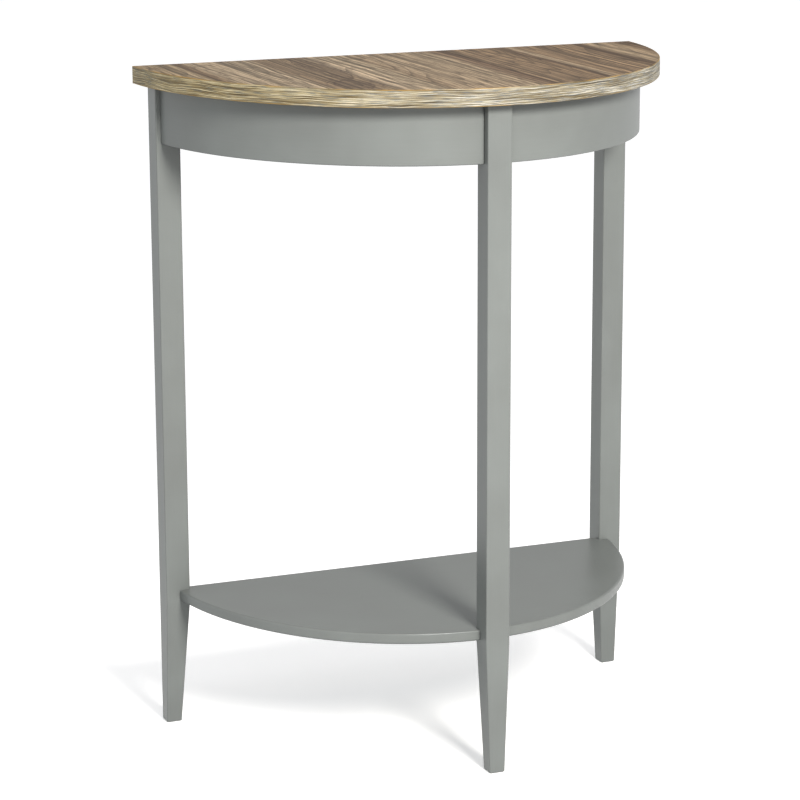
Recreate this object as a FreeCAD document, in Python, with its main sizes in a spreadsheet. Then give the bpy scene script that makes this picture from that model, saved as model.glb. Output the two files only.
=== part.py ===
import FreeCAD, Part
import Sketcher
import math
import os
import re

# Demilune hall table: a half-moon woodgrain top on a painted frame of three
# tapered legs, curved aprons, a back rail and a low half-moon shelf.
# Frame: +Z up, floor at z = 0, +X along the straight back edge, the round
# side towards -Y, origin under the middle of the table.

doc = FreeCAD.newDocument("demilune_table")
sheet = doc.addObject("Spreadsheet::Sheet", "sizes")

# Driving sizes in millimetres
SIZES = {
    # Top: a board with a woodgrain face, a backing sheet and glued edge bands
    "table_height": 762.0,
    "top_width": 610.0,
    "top_depth": 334.0,
    "curve_setback": 13.0,
    "core_board": 18.0,
    "face_sheet": 0.6,
    "backing_sheet": 0.6,
    "edge_band": 1.0,
    "glue_line": 0.1,
    # Legs: square, tapered below the shelf
    "leg_size": 28.0,
    "foot_size": 18.0,
    "leg_arris": 1.5,
    "foot_chamfer": 1.0,
    "leg_end_inset": 16.5,
    "leg_rear_inset": 1.0,
    "front_leg_inset": 20.0,
    "taper_drop": 2.0,
    # Aprons, back rail and corner blocks
    "apron_height": 65.0,
    "apron_thickness": 18.0,
    "apron_end_reveal": 5.5,
    "apron_front_reveal": 9.0,
    "rail_thickness": 12.0,
    "block_height": 45.0,
    "block_length": 32.0,
    "front_block_width": 100.0,
    "rear_block_depth": 30.0,
    # Shelf, notched round the legs
    "shelf_height": 162.0,
    "shelf_thickness": 12.0,
    "shelf_rear_lap": 12.0,
    "shelf_end_lap": 12.5,
    "shelf_front_lap": 11.0,
    "notch_clearance": 0.2,
    # Dowels
    "dowel_diameter": 8.0,
    "dowel_length": 30.0,
    "thin_dowel_diameter": 6.0,
    "thin_dowel_length": 28.0,
    "dowel_in_leg": 12.0,
    "dowel_spread": 36.0,
    "shelf_dowel_spread": 14.0,
    "hole_clearance": 0.1,
    # Leg bolts with their inserts and washers
    "bolt_diameter": 6.0,
    "bolt_head_diameter": 10.0,
    "bolt_head_height": 6.0,
    "bolt_socket_radius": 2.9,
    "bolt_socket_depth": 3.0,
    "insert_diameter": 10.0,
    "insert_length": 13.0,
    "washer_diameter": 12.0,
    "washer_thickness": 1.6,
    # Countersunk wood screws
    "screw_diameter": 4.0,
    "screw_head_diameter": 8.0,
    "screw_head_land": 0.1,
    "block_screw_bite": 9.0,
    "block_screw_drop": 10.0,
    "block_screw_reach": 36.0,
    "rail_screw_reach": 22.0,
    "top_screw_bite": 11.0,
    "top_screw_reach": 22.0,
    "rear_top_screw_inset": 8.0,
    "shelf_screw_bite": 18.0,
}

# Places and sizes that follow from the driving ones
PLACES = {
    "under_top": "table_height - face_sheet - core_board - backing_sheet",
    "top_thickness": "face_sheet + core_board + backing_sheet",
    "back_edge": "top_depth / 2",
    "front_edge": "-top_depth / 2",
    "curve_centre": "back_edge + curve_setback",
    "top_reach": "top_depth + curve_setback",
    "top_half": "top_width / 2 / sqrt(1 - (curve_setback / top_reach) ^ 2)",
    "leg_outer": "top_width / 2 - leg_end_inset",
    "leg_inner": "leg_outer - leg_size",
    "rear_leg_back": "back_edge - leg_rear_inset",
    "rear_leg_front": "rear_leg_back - leg_size",
    "front_leg_front": "front_edge + front_leg_inset",
    "front_leg_back": "front_leg_front + leg_size",
    "leg_plane_drop": "curve_centre - rear_leg_front",
    "apron_bottom": "under_top - apron_height",
    "apron_middle": "under_top - apron_height / 2",
    "apron_reach": "curve_centre - front_leg_front - apron_front_reveal",
    "apron_half": "(leg_outer - apron_end_reveal) / sqrt(1 - (leg_plane_drop / apron_reach) ^ 2)",
    "rail_front": "rear_leg_back - rail_thickness",
    "block_bottom": "under_top - block_height",
    "front_block_back": "front_leg_back + block_length",
    "rear_block_inner": "leg_inner - block_length",
    "rear_block_front": "rail_front - rear_block_depth",
    "rear_bolt_line": "(rail_front + rear_leg_front) / 2",
    "shelf_bottom": "shelf_height - shelf_thickness",
    "shelf_middle": "shelf_height - shelf_thickness / 2",
    "shelf_back": "rear_leg_front + shelf_rear_lap",
    "shelf_reach": "curve_centre - front_leg_back + shelf_front_lap",
    "shelf_half": "(leg_inner + shelf_end_lap) / sqrt(1 - (leg_plane_drop / shelf_reach) ^ 2)",
    "taper_top": "shelf_bottom - taper_drop",
    "screw_head_depth": "(screw_head_diameter - screw_diameter) / 2",
    "bolt_length": "washer_thickness + block_length + insert_length",
}

for row, (alias, number) in enumerate(SIZES.items(), start=1):
    sheet.set(f"A{row}", alias)
    sheet.set(f"B{row}", str(number))
    sheet.setAlias(f"B{row}", alias)
doc.recompute()


def formula(text):
    """Spell a formula in plain size names as one that reads the sheet."""

    def spell(match):
        word = match.group(0)
        if word in PLACES:
            return "(" + formula(PLACES[word]) + ")"
        if word in SIZES:
            return "sizes." + word
        return word

    return re.sub(r"[a-z_]+", spell, text)


def bind(item, **formulas):
    """Tie properties of an object to the sheet."""
    for name, text in formulas.items():
        item.setExpression(name, formula(text))


def put(item, x="0", y="0", z="0", turn=None):
    """Place an object by three formulas and an optional fixed turn."""
    if turn is not None:
        item.Placement = FreeCAD.Placement(FreeCAD.Vector(), turn)
    for axis, text in zip("xyz", (x, y, z)):
        item.setExpression("Placement.Base." + axis, formula(text))
    return item


X_AXIS = FreeCAD.Vector(1, 0, 0)
Y_AXIS = FreeCAD.Vector(0, 1, 0)

# Turns that aim a piece made along +Z
UPWARD = FreeCAD.Rotation()
FORWARD = FreeCAD.Rotation(X_AXIS, 90)
BACKWARD = FreeCAD.Rotation(X_AXIS, -90)
RIGHTWARD = FreeCAD.Rotation(Y_AXIS, 90)
LEFTWARD = FreeCAD.Rotation(Y_AXIS, -90)


def slab(name, x, y, z, length, width, height):
    """Rectangular block from its lowest corner."""
    box = doc.addObject("Part::Box", name)
    bind(box, Length=length, Width=width, Height=height)
    return put(box, x, y, z)


def disc(name, half_width, reach, bottom, thickness):
    """Elliptical board about the common curve centre, half_width by reach."""
    rim = doc.addObject("Part::Ellipse", name + "_rim")
    bind(rim, MajorRadius=f"max({half_width}; {reach})", MinorRadius=f"min({half_width}; {reach})")
    rim.setExpression("Placement.Rotation.Angle", formula(f"{reach} > {half_width} ? 90 deg : 0 deg"))
    put(rim, y="curve_centre", z=bottom)
    board = doc.addObject("Part::Extrusion", name + "_disc")
    board.Base = rim
    board.DirMode = "Custom"
    board.Dir = FreeCAD.Vector(0, 0, 1)
    board.Solid = True
    bind(board, LengthFwd=thickness)
    return board


def cut(name, base, *tools):
    """One solid with others taken away."""
    tool = tools[0]
    if len(tools) > 1:
        tool = group(name + "_cutters", tools)
    result = doc.addObject("Part::Cut", name)
    result.Base = base
    result.Tool = tool
    return result


def common(name, base, tool):
    """What two solids share."""
    result = doc.addObject("Part::Common", name)
    result.Base = base
    result.Tool = tool
    return result


def group(name, items):
    """Separate solids kept together."""
    result = doc.addObject("Part::Compound", name)
    result.Links = list(items)
    return result


def copy_at(name, master, place):
    """A copy of a master piece, aimed and placed."""
    x, y, z, turn = place
    return put(group(name, [master]), x, y, z, turn)


def copies(name, master, places):
    """A numbered group of copies of a master piece."""
    items = [copy_at(f"{name}_{number}", master, place) for number, place in enumerate(places, start=1)]
    return group(name, items)


def primitive(body, kind, name, x="0", y="0", z="0", turn=None, **formulas):
    """A primitive feature inside a body."""
    feature = body.newObject("PartDesign::" + kind, name)
    bind(feature, **formulas)
    put(feature, x, y, z, turn)
    return feature


# Dowels: beech pins made along +Z from their leg end, in drillings a little wider
# and deeper than the pins
def pin(name, diameter, length, clearance="0", sides=12):
    prism = doc.addObject("Part::Prism", name)
    prism.Polygon = sides
    bind(prism, Circumradius=f"{diameter} / 2 + {clearance}", Height=f"{length} + 2 * {clearance}")
    return put(prism, z=f"-{clearance}")


dowel = pin("dowel", "dowel_diameter", "dowel_length")
dowel_drill = pin("dowel_drill", "dowel_diameter", "dowel_length", "hole_clearance")
thin_dowel = pin("thin_dowel", "thin_dowel_diameter", "thin_dowel_length")
thin_dowel_drill = pin("thin_dowel_drill", "thin_dowel_diameter", "thin_dowel_length", "hole_clearance")


# Countersunk wood screw, twelve-sided, made along +Z from its head: the head's lower
# arris is bevelled down to the shank, under a thin land
def screw_master(name, length, clearance="0"):
    head = doc.addObject("PartDesign::Body", name + "_head")
    blank = primitive(
        head, "AdditivePrism", name + "_head_blank",
        Circumradius=f"screw_head_diameter / 2 + {clearance}", Height="screw_head_depth",
    )
    blank.Polygon = 12
    doc.recompute()
    depth = blank.Shape.BoundBox.ZMax
    lower_edges = [
        f"Edge{number}" for number, edge in enumerate(blank.Shape.Edges, start=1)
        if all(math.isclose(corner.Z, depth) for corner in edge.Vertexes)
    ]
    countersink = head.newObject("PartDesign::Chamfer", name + "_countersink")
    countersink.Base = (blank, lower_edges)
    bind(countersink, Size="screw_head_depth - screw_head_land")
    screw = doc.addObject("Part::Fuse", name)
    screw.Base = head
    screw.Tool = pin(name + "_shank", "screw_diameter", length, clearance)
    return screw


def screw_and_drill(name, length):
    return screw_master(name, length), screw_master(name + "_drill", length, "hole_clearance")


# Leg bolt: socket head, then a plain shank, made along +Z from under the head
bolt = doc.addObject("PartDesign::Body", "bolt")
primitive(
    bolt, "AdditiveCylinder", "bolt_head", z="-bolt_head_height",
    Radius="bolt_head_diameter / 2", Height="bolt_head_height",
)
primitive(bolt, "AdditiveCylinder", "bolt_shank", Radius="bolt_diameter / 2", Height="bolt_length")
primitive(
    bolt, "SubtractivePrism", "bolt_socket", z="-bolt_head_height",
    Circumradius="bolt_socket_radius", Height="bolt_socket_depth",
)

# Washer under the bolt head
washer = doc.addObject("PartDesign::Body", "washer")
primitive(
    washer, "AdditiveCylinder", "washer_outside",
    Radius="washer_diameter / 2", Height="washer_thickness",
)
primitive(
    washer, "SubtractiveCylinder", "washer_bore",
    Radius="bolt_diameter / 2 + hole_clearance", Height="washer_thickness",
)

# Insert that the bolt screws into: a sleeve pressed into the leg
SLEEVE_SIDES = 16
insert = cut(
    "insert",
    pin("insert_outside", "insert_diameter", "insert_length", sides=SLEEVE_SIDES),
    pin("insert_bore", "bolt_diameter", "insert_length", "hole_clearance", SLEEVE_SIDES),
)
insert_drill = pin("insert_drill", "insert_diameter", "insert_length", "hole_clearance", SLEEVE_SIDES)
bolt_drill = pin("bolt_drill", "bolt_diameter", "block_length", "hole_clearance", SLEEVE_SIDES)

# Dowel places: apron ends into the legs, rail ends, shelf into the front leg
joint_heights = ("apron_middle - dowel_spread / 2", "apron_middle + dowel_spread / 2")
apron_line = "front_leg_front + apron_front_reveal + apron_thickness / 2"
apron_end_line = "leg_outer - apron_end_reveal - apron_thickness / 2"
rail_line = "rear_leg_back - rail_thickness / 2"
apron_front_left = [
    ("-leg_size / 2 + dowel_in_leg", apron_line, z, LEFTWARD) for z in joint_heights
]
apron_front_right = [
    ("leg_size / 2 - dowel_in_leg", apron_line, z, RIGHTWARD) for z in joint_heights
]
apron_rear_left = [
    (f"-({apron_end_line})", "rear_leg_front + dowel_in_leg", z, FORWARD) for z in joint_heights
]
apron_rear_right = [
    (apron_end_line, "rear_leg_front + dowel_in_leg", z, FORWARD) for z in joint_heights
]
rail_left = [("-leg_inner - dowel_in_leg", rail_line, z, RIGHTWARD) for z in joint_heights]
rail_right = [("leg_inner + dowel_in_leg", rail_line, z, LEFTWARD) for z in joint_heights]
shelf_front = [
    (f"{side} shelf_dowel_spread / 2", "front_leg_back - dowel_in_leg", "shelf_middle", BACKWARD)
    for side in ("-", "+")
]

# Bolt places: head against each block's inner face, shank into the leg
bolt_front = ("0", "front_block_back + washer_thickness", "apron_middle", FORWARD)
bolt_left = ("-rear_block_inner + washer_thickness", "rear_bolt_line", "apron_middle", LEFTWARD)
bolt_right = ("rear_block_inner - washer_thickness", "rear_bolt_line", "apron_middle", RIGHTWARD)
hole_front = ("0", "front_block_back", "apron_middle", FORWARD)
hole_left = ("-rear_block_inner", "rear_bolt_line", "apron_middle", LEFTWARD)
hole_right = ("rear_block_inner", "rear_bolt_line", "apron_middle", RIGHTWARD)
insert_front = ("0", "front_leg_back", "apron_middle", FORWARD)
insert_left = ("-leg_inner", "rear_bolt_line", "apron_middle", LEFTWARD)
insert_right = ("leg_inner", "rear_bolt_line", "apron_middle", RIGHTWARD)

# Screw places: blocks to apron and rail, blocks to top, rear legs to shelf
block_screw_height = "under_top - block_screw_drop"
block_screw, block_screw_drill = screw_and_drill("block_screw", "block_length + block_screw_bite")
block_screw_front = [
    (f"{side} block_screw_reach", "front_block_back", block_screw_height, FORWARD) for side in ("-", "+")
]
rail_screw, rail_screw_drill = screw_and_drill("rail_screw", "rear_block_depth + block_screw_bite")
rail_screw_left = ("-leg_inner + rail_screw_reach", "rear_block_front", block_screw_height, BACKWARD)
rail_screw_right = ("leg_inner - rail_screw_reach", "rear_block_front", block_screw_height, BACKWARD)
top_screw, top_screw_drill = screw_and_drill("top_screw", "block_height + top_screw_bite")
top_screw_front = [
    (f"{side} top_screw_reach", "front_leg_back + block_length / 2", "block_bottom", UPWARD)
    for side in ("-", "+")
]
rear_top_screw_line = "rear_block_front + rear_top_screw_inset"
top_screw_left = ("-leg_inner + rear_top_screw_inset", rear_top_screw_line, "block_bottom", UPWARD)
top_screw_right = ("leg_inner - rear_top_screw_inset", rear_top_screw_line, "block_bottom", UPWARD)
shelf_screw, shelf_screw_drill = screw_and_drill("shelf_screw", "leg_size + shelf_screw_bite")
shelf_screw_left = ("-leg_inner - shelf_end_lap / 2", "rear_leg_back", "shelf_middle", FORWARD)
shelf_screw_right = ("leg_inner + shelf_end_lap / 2", "rear_leg_back", "shelf_middle", FORWARD)


# Top: core board, woodgrain face, backing sheet and two edge bands
def inside_band(name, bottom, thickness):
    """Half-moon sheet that the edge bands wrap round."""
    shrink = "(edge_band + glue_line)"
    sheet_disc = disc(name, f"(top_half - {shrink})", f"(top_reach - {shrink})", bottom, thickness)
    reach = slab(
        name + "_reach", "-top_width", "front_edge", bottom,
        "2 * top_width", "top_depth - edge_band", thickness,
    )
    return common(name, sheet_disc, reach)


core_bottom = "under_top + backing_sheet"
core_top = "table_height - face_sheet"
top_screw_drills = copies(
    "top_screw_drills", top_screw_drill, top_screw_front + [top_screw_left, top_screw_right]
)
top_core = cut("top_core", inside_band("core_blank", core_bottom, "core_board"), top_screw_drills)
top_face = inside_band("top_face_sheet", core_top, "face_sheet")
top_backing = cut(
    "top_backing_sheet", inside_band("backing_blank", "under_top", "backing_sheet"), top_screw_drills
)
band_outside = disc("band_outside", "top_half", "top_reach", "under_top", "top_thickness")
band_inside = disc(
    "band_inside", "(top_half - edge_band)", "(top_reach - edge_band)", "under_top", "top_thickness"
)
band_ring = cut("band_ring", band_outside, band_inside)
band_front_reach = slab(
    "band_front_reach", "-top_width", "front_edge", "under_top",
    "2 * top_width", "top_depth - edge_band", "top_thickness",
)
band_back_reach = slab(
    "band_back_reach", "-top_width", "back_edge - edge_band", "under_top",
    "2 * top_width", "edge_band", "top_thickness",
)
front_band = common("top_front_edge_band", band_ring, band_front_reach)
back_band = common("top_back_edge_band", band_outside, band_back_reach)


# Legs: a square shaft down to the shelf, then a taper to a smaller foot with a
# chamfered sole, all with rounded arrises
def xy_plane(body):
    """The body's own horizontal plane."""
    return next(plane for plane in body.Origin.OriginFeatures if plane.Role == "XY_Plane")


def rounded_square(body, name, x, y, z, side):
    """Sketch of a square with rounded corners, from its lowest corner."""
    start = float(sheet.get("leg_size"))
    radius = float(sheet.get("leg_arris"))
    far = start - radius
    sketch = body.newObject("Sketcher::SketchObject", name)
    sketch.AttachmentSupport = [(xy_plane(body), "")]
    sketch.MapMode = "FlatFace"
    for axis, text in zip("xyz", (x, y, z)):
        sketch.setExpression("AttachmentOffset.Base." + axis, formula(text))
    flats = (
        ((radius, 0), (far, 0)),
        ((start, radius), (start, far)),
        ((far, start), (radius, start)),
        ((0, far), (0, radius)),
    )
    for begin, finish in flats:
        sketch.addGeometry(Part.LineSegment(FreeCAD.Vector(*begin, 0), FreeCAD.Vector(*finish, 0)))
    corners = ((far, radius), (far, far), (radius, far), (radius, radius))
    for quarter, centre in enumerate(corners):
        circle = Part.Circle(FreeCAD.Vector(*centre, 0), FreeCAD.Vector(0, 0, 1), radius)
        turn = (quarter - 1) * math.pi / 2
        sketch.addGeometry(Part.ArcOfCircle(circle, turn, turn + math.pi / 2))
    for side_line in range(4):
        corner = 4 + side_line
        next_line = (side_line + 1) % 4
        sketch.addConstraint(Sketcher.Constraint("Tangent", side_line, 2, corner, 1))
        sketch.addConstraint(Sketcher.Constraint("Tangent", corner, 2, next_line, 1))
    for level_line in (0, 2):
        sketch.addConstraint(Sketcher.Constraint("Horizontal", level_line))
    for upright_line in (1, 3):
        sketch.addConstraint(Sketcher.Constraint("Vertical", upright_line))
    for corner in (5, 6, 7):
        sketch.addConstraint(Sketcher.Constraint("Equal", 4, corner))
    sketch.addConstraint(Sketcher.Constraint("PointOnObject", 0, 1, -1))
    sketch.addConstraint(Sketcher.Constraint("PointOnObject", 3, 1, -2))
    across = sketch.addConstraint(Sketcher.Constraint("DistanceX", 3, 1, 1, 1, start))
    along = sketch.addConstraint(Sketcher.Constraint("DistanceY", 0, 1, 2, 1, start))
    arris = sketch.addConstraint(Sketcher.Constraint("Radius", 4, radius))
    sketch.setExpression(f"Constraints[{across}]", formula(side))
    sketch.setExpression(f"Constraints[{along}]", formula(side))
    sketch.setExpression(f"Constraints[{arris}]", formula("leg_arris"))
    return sketch


def leg(name, x, y, foot_x, foot_y, holes):
    body = doc.addObject("PartDesign::Body", name + "_body")
    put(body, x, y)
    square = rounded_square(body, name + "_square", "0", "0", "taper_top", "leg_size")
    shaft = body.newObject("PartDesign::Pad", name + "_shaft")
    shaft.Profile = square
    bind(shaft, Length="under_top - taper_top")
    sole = rounded_square(
        body, name + "_sole", f"{foot_x} + foot_chamfer", f"{foot_y} + foot_chamfer", "0",
        "foot_size - 2 * foot_chamfer",
    )
    foot = rounded_square(body, name + "_foot", foot_x, foot_y, "foot_chamfer", "foot_size")
    knee = rounded_square(body, name + "_knee", "0", "0", "taper_top", "leg_size")
    taper = body.newObject("PartDesign::AdditiveLoft", name + "_taper")
    taper.Profile = sole
    taper.Sections = [foot, knee]
    taper.Ruled = True
    return cut(name, body, *holes)


front_leg = leg(
    "front_leg", "-leg_size / 2", "front_leg_front", "(leg_size - foot_size) / 2", "0",
    (
        copies("front_leg_dowel_holes", dowel_drill, apron_front_left + apron_front_right),
        copies("front_leg_shelf_holes", thin_dowel_drill, shelf_front),
        copies("front_leg_insert_hole", insert_drill, [insert_front]),
    ),
)
left_rear_leg = leg(
    "left_rear_leg", "-leg_outer", "rear_leg_front", "0", "leg_size - foot_size",
    (
        copies("left_leg_apron_holes", dowel_drill, apron_rear_left),
        copies("left_leg_rail_holes", thin_dowel_drill, rail_left),
        copies("left_leg_insert_hole", insert_drill, [insert_left]),
        copies("left_leg_screw_hole", shelf_screw_drill, [shelf_screw_left]),
    ),
)
right_rear_leg = leg(
    "right_rear_leg", "leg_inner", "rear_leg_front", "leg_size - foot_size", "leg_size - foot_size",
    (
        copies("right_leg_apron_holes", dowel_drill, apron_rear_right),
        copies("right_leg_rail_holes", thin_dowel_drill, rail_right),
        copies("right_leg_insert_hole", insert_drill, [insert_right]),
        copies("right_leg_screw_hole", shelf_screw_drill, [shelf_screw_right]),
    ),
)

# Aprons: bent laminated boards from the front leg's sides to the rear legs'
# front faces
apron_inside_half = "(apron_half - apron_thickness)"
apron_inside_reach = "(apron_reach - apron_thickness)"
apron_outside = disc("apron_outside", "apron_half", "apron_reach", "apron_bottom", "apron_height")
apron_inside = disc("apron_inside", apron_inside_half, apron_inside_reach, "apron_bottom", "apron_height")
apron_ring = cut("apron_ring", apron_outside, apron_inside)


def apron(name, x, holes):
    reach = slab(
        name + "_reach", x, "front_edge", "apron_bottom",
        "top_width", "rear_leg_front - front_edge", "apron_height",
    )
    blank = common(name + "_blank", apron_ring, reach)
    return cut(name, blank, *holes)


block_screw_drills = copies("block_screw_drills", block_screw_drill, block_screw_front)
left_apron = apron(
    "left_apron", "-leg_size / 2 - top_width",
    (
        copies("left_apron_front_holes", dowel_drill, apron_front_left),
        copies("left_apron_rear_holes", dowel_drill, apron_rear_left),
        copies("left_apron_screw_hole", block_screw_drill, block_screw_front[:1]),
    ),
)
right_apron = apron(
    "right_apron", "leg_size / 2",
    (
        copies("right_apron_front_holes", dowel_drill, apron_front_right),
        copies("right_apron_rear_holes", dowel_drill, apron_rear_right),
        copies("right_apron_screw_hole", block_screw_drill, block_screw_front[1:]),
    ),
)

# Back rail: a straight board between the rear legs, flush with their backs
back_rail = cut(
    "back_rail",
    slab(
        "rail_blank", "-leg_inner", "rail_front", "apron_bottom",
        "2 * leg_inner", "rail_thickness", "apron_height",
    ),
    copies("rail_dowel_holes", thin_dowel_drill, rail_left + rail_right),
    copies("rail_screw_holes", rail_screw_drill, [rail_screw_left, rail_screw_right]),
)

# Corner blocks: scribed to the inside of the aprons, drilled for the leg bolt,
# the screws into the frame and the screws up into the top
scribe = disc(
    "scribe", f"({apron_inside_half} - glue_line)", f"({apron_inside_reach} - glue_line)",
    "block_bottom", "block_height",
)


def corner_block(name, x, y, length, width, leg_x, leg_y, holes):
    blank = slab(name + "_blank", x, y, "block_bottom", length, width, "block_height")
    leg_room = slab(name + "_leg_room", leg_x, leg_y, "block_bottom", "leg_size", "leg_size", "block_height")
    return cut(name, common(name + "_scribed", blank, scribe), leg_room, *holes)


front_block = corner_block(
    "front_corner_block", "-front_block_width / 2", "front_leg_front",
    "front_block_width", "front_block_back - front_leg_front", "-leg_size / 2", "front_leg_front",
    (
        copies("front_block_bolt_hole", bolt_drill, [hole_front]),
        block_screw_drills,
        copies("front_block_top_holes", top_screw_drill, top_screw_front),
    ),
)
left_block = corner_block(
    "left_corner_block", "-leg_outer", "rear_block_front",
    "leg_outer - rear_block_inner", "rear_block_depth", "-leg_outer", "rear_leg_front",
    (
        copies("left_block_bolt_hole", bolt_drill, [hole_left]),
        copies("left_block_rail_hole", rail_screw_drill, [rail_screw_left]),
        copies("left_block_top_hole", top_screw_drill, [top_screw_left]),
    ),
)
right_block = corner_block(
    "right_corner_block", "rear_block_inner", "rear_block_front",
    "leg_outer - rear_block_inner", "rear_block_depth", "leg_inner", "rear_leg_front",
    (
        copies("right_block_bolt_hole", bolt_drill, [hole_right]),
        copies("right_block_rail_hole", rail_screw_drill, [rail_screw_right]),
        copies("right_block_top_hole", top_screw_drill, [top_screw_right]),
    ),
)

# Shelf: a half-moon board notched round the three legs
shelf_reach_box = slab(
    "shelf_reach", "-top_width", "front_edge", "shelf_bottom",
    "2 * top_width", "shelf_back - front_edge", "shelf_thickness",
)
shelf_disc = disc("shelf", "shelf_half", "shelf_reach", "shelf_bottom", "shelf_thickness")
shelf_blank = common("shelf_blank", shelf_disc, shelf_reach_box)


def leg_notch(name, x, y):
    return slab(
        name, f"{x} - notch_clearance", f"{y} - notch_clearance", "shelf_bottom",
        "leg_size + 2 * notch_clearance", "leg_size + 2 * notch_clearance", "shelf_thickness",
    )


shelf = cut(
    "shelf", shelf_blank,
    leg_notch("front_notch", "-leg_size / 2", "front_leg_front"),
    leg_notch("left_notch", "-leg_outer", "rear_leg_front"),
    leg_notch("right_notch", "leg_inner", "rear_leg_front"),
    copies("shelf_dowel_holes", thin_dowel_drill, shelf_front),
    copies("shelf_screw_holes", shelf_screw_drill, [shelf_screw_left, shelf_screw_right]),
)

# Loose fittings, each kind a group of separate solids
apron_front_dowels = copies("apron_front_dowels", dowel, apron_front_left + apron_front_right)
apron_rear_dowels = copies("apron_rear_dowels", dowel, apron_rear_left + apron_rear_right)
rail_dowels = copies("rail_dowels", thin_dowel, rail_left + rail_right)
shelf_dowels = copies("shelf_front_dowels", thin_dowel, shelf_front)
leg_inserts = copies("leg_inserts", insert, [insert_front, insert_left, insert_right])
leg_bolts = copies("leg_bolts", bolt, [bolt_front, bolt_left, bolt_right])
leg_washers = copies("leg_bolt_washers", washer, [bolt_front, bolt_left, bolt_right])
block_screws = copies("block_screws", block_screw, block_screw_front)
rail_screws = copies("rail_screws", rail_screw, [rail_screw_left, rail_screw_right])
top_screws = copies("top_screws", top_screw, top_screw_front + [top_screw_left, top_screw_right])
shelf_screws = copies("shelf_screws", shelf_screw, [shelf_screw_left, shelf_screw_right])

NODES = {
    "top_core": top_core,
    "top_face_sheet": top_face,
    "top_backing_sheet": top_backing,
    "top_front_edge_band": front_band,
    "top_back_edge_band": back_band,
    "front_leg": front_leg,
    "left_rear_leg": left_rear_leg,
    "right_rear_leg": right_rear_leg,
    "left_apron": left_apron,
    "right_apron": right_apron,
    "back_rail": back_rail,
    "front_corner_block": front_block,
    "left_corner_block": left_block,
    "right_corner_block": right_block,
    "shelf": shelf,
    "apron_front_dowels": apron_front_dowels,
    "apron_rear_dowels": apron_rear_dowels,
    "rail_dowels": rail_dowels,
    "shelf_front_dowels": shelf_dowels,
    "leg_inserts": leg_inserts,
    "leg_bolts": leg_bolts,
    "leg_bolt_washers": leg_washers,
    "block_screws": block_screws,
    "rail_screws": rail_screws,
    "top_screws": top_screws,
    "shelf_screws": shelf_screws,
}

doc.recompute()
for item in doc.Objects:
    if "Invalid" in item.State or "Error" in item.State:
        raise RuntimeError(f"{item.Name} failed: {item.State}")
for label, item in NODES.items():
    item.Label = label
    if item.Shape.isNull() or not item.Shape.isValid() or not item.Shape.Solids:
        raise RuntimeError(f"{label} has no valid solid")

os.makedirs("parts", exist_ok=True)
for label, item in NODES.items():
    item.Shape.exportStep(f"parts/{label}.step")
    print(label, len(item.Shape.Solids), "solids", round(item.Shape.Volume / 1000, 2), "cm3")
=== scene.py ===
import math

import bpy
from mathutils import Matrix, Vector


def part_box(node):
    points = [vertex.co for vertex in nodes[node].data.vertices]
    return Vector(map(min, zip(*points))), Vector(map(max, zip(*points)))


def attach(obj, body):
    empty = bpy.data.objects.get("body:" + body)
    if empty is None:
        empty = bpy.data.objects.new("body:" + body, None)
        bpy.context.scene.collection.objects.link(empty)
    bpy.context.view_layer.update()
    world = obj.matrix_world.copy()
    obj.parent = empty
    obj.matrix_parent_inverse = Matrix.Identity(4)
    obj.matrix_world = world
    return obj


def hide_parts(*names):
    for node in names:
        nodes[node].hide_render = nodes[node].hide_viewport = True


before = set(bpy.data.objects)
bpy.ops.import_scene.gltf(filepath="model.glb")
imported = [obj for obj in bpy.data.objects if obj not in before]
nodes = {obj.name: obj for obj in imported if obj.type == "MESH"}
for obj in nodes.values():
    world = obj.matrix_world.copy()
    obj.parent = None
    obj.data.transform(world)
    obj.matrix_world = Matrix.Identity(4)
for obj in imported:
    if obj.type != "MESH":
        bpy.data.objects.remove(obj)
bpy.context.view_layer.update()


# Legs: three square posts of solid rubberwood, tapered below the shelf, with
# rounded arrises. Each is planed, sanded and sprayed with satin grey lacquer,
# then bolted to the corner blocks from inside the frame.
def linear(code):
    """sRGB hex colour as linear RGBA."""
    parts = [int(code[place:place + 2], 16) / 255 for place in (1, 3, 5)]
    return [
        part / 12.92 if part <= 0.04045 else ((part + 0.055) / 1.055) ** 2.4 for part in parts
    ] + [1.0]


def blank(name):
    """New material with an empty node tree."""
    material = bpy.data.materials.new(name)
    material.use_nodes = True
    material.node_tree.nodes.clear()
    return material


def add(material, kind, inputs=(), stops=(), **settings):
    """Adds a shader node.

    Each input is a value or another node's output; stops are the tones of a ramp.
    """
    tree = material.node_tree
    made = tree.nodes.new("ShaderNode" + kind)
    for name, value in settings.items():
        setattr(made, name, value)
    for name, value in dict(inputs).items():
        if isinstance(value, bpy.types.NodeSocket):
            tree.links.new(value, made.inputs[name])
        else:
            made.inputs[name].default_value = value
    for number, (place, colour) in enumerate(stops):
        ramp = made.color_ramp.elements
        stop = ramp[number] if number < 2 else ramp.new(place)
        stop.position = place
        stop.color = linear(colour)
    return made


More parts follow.
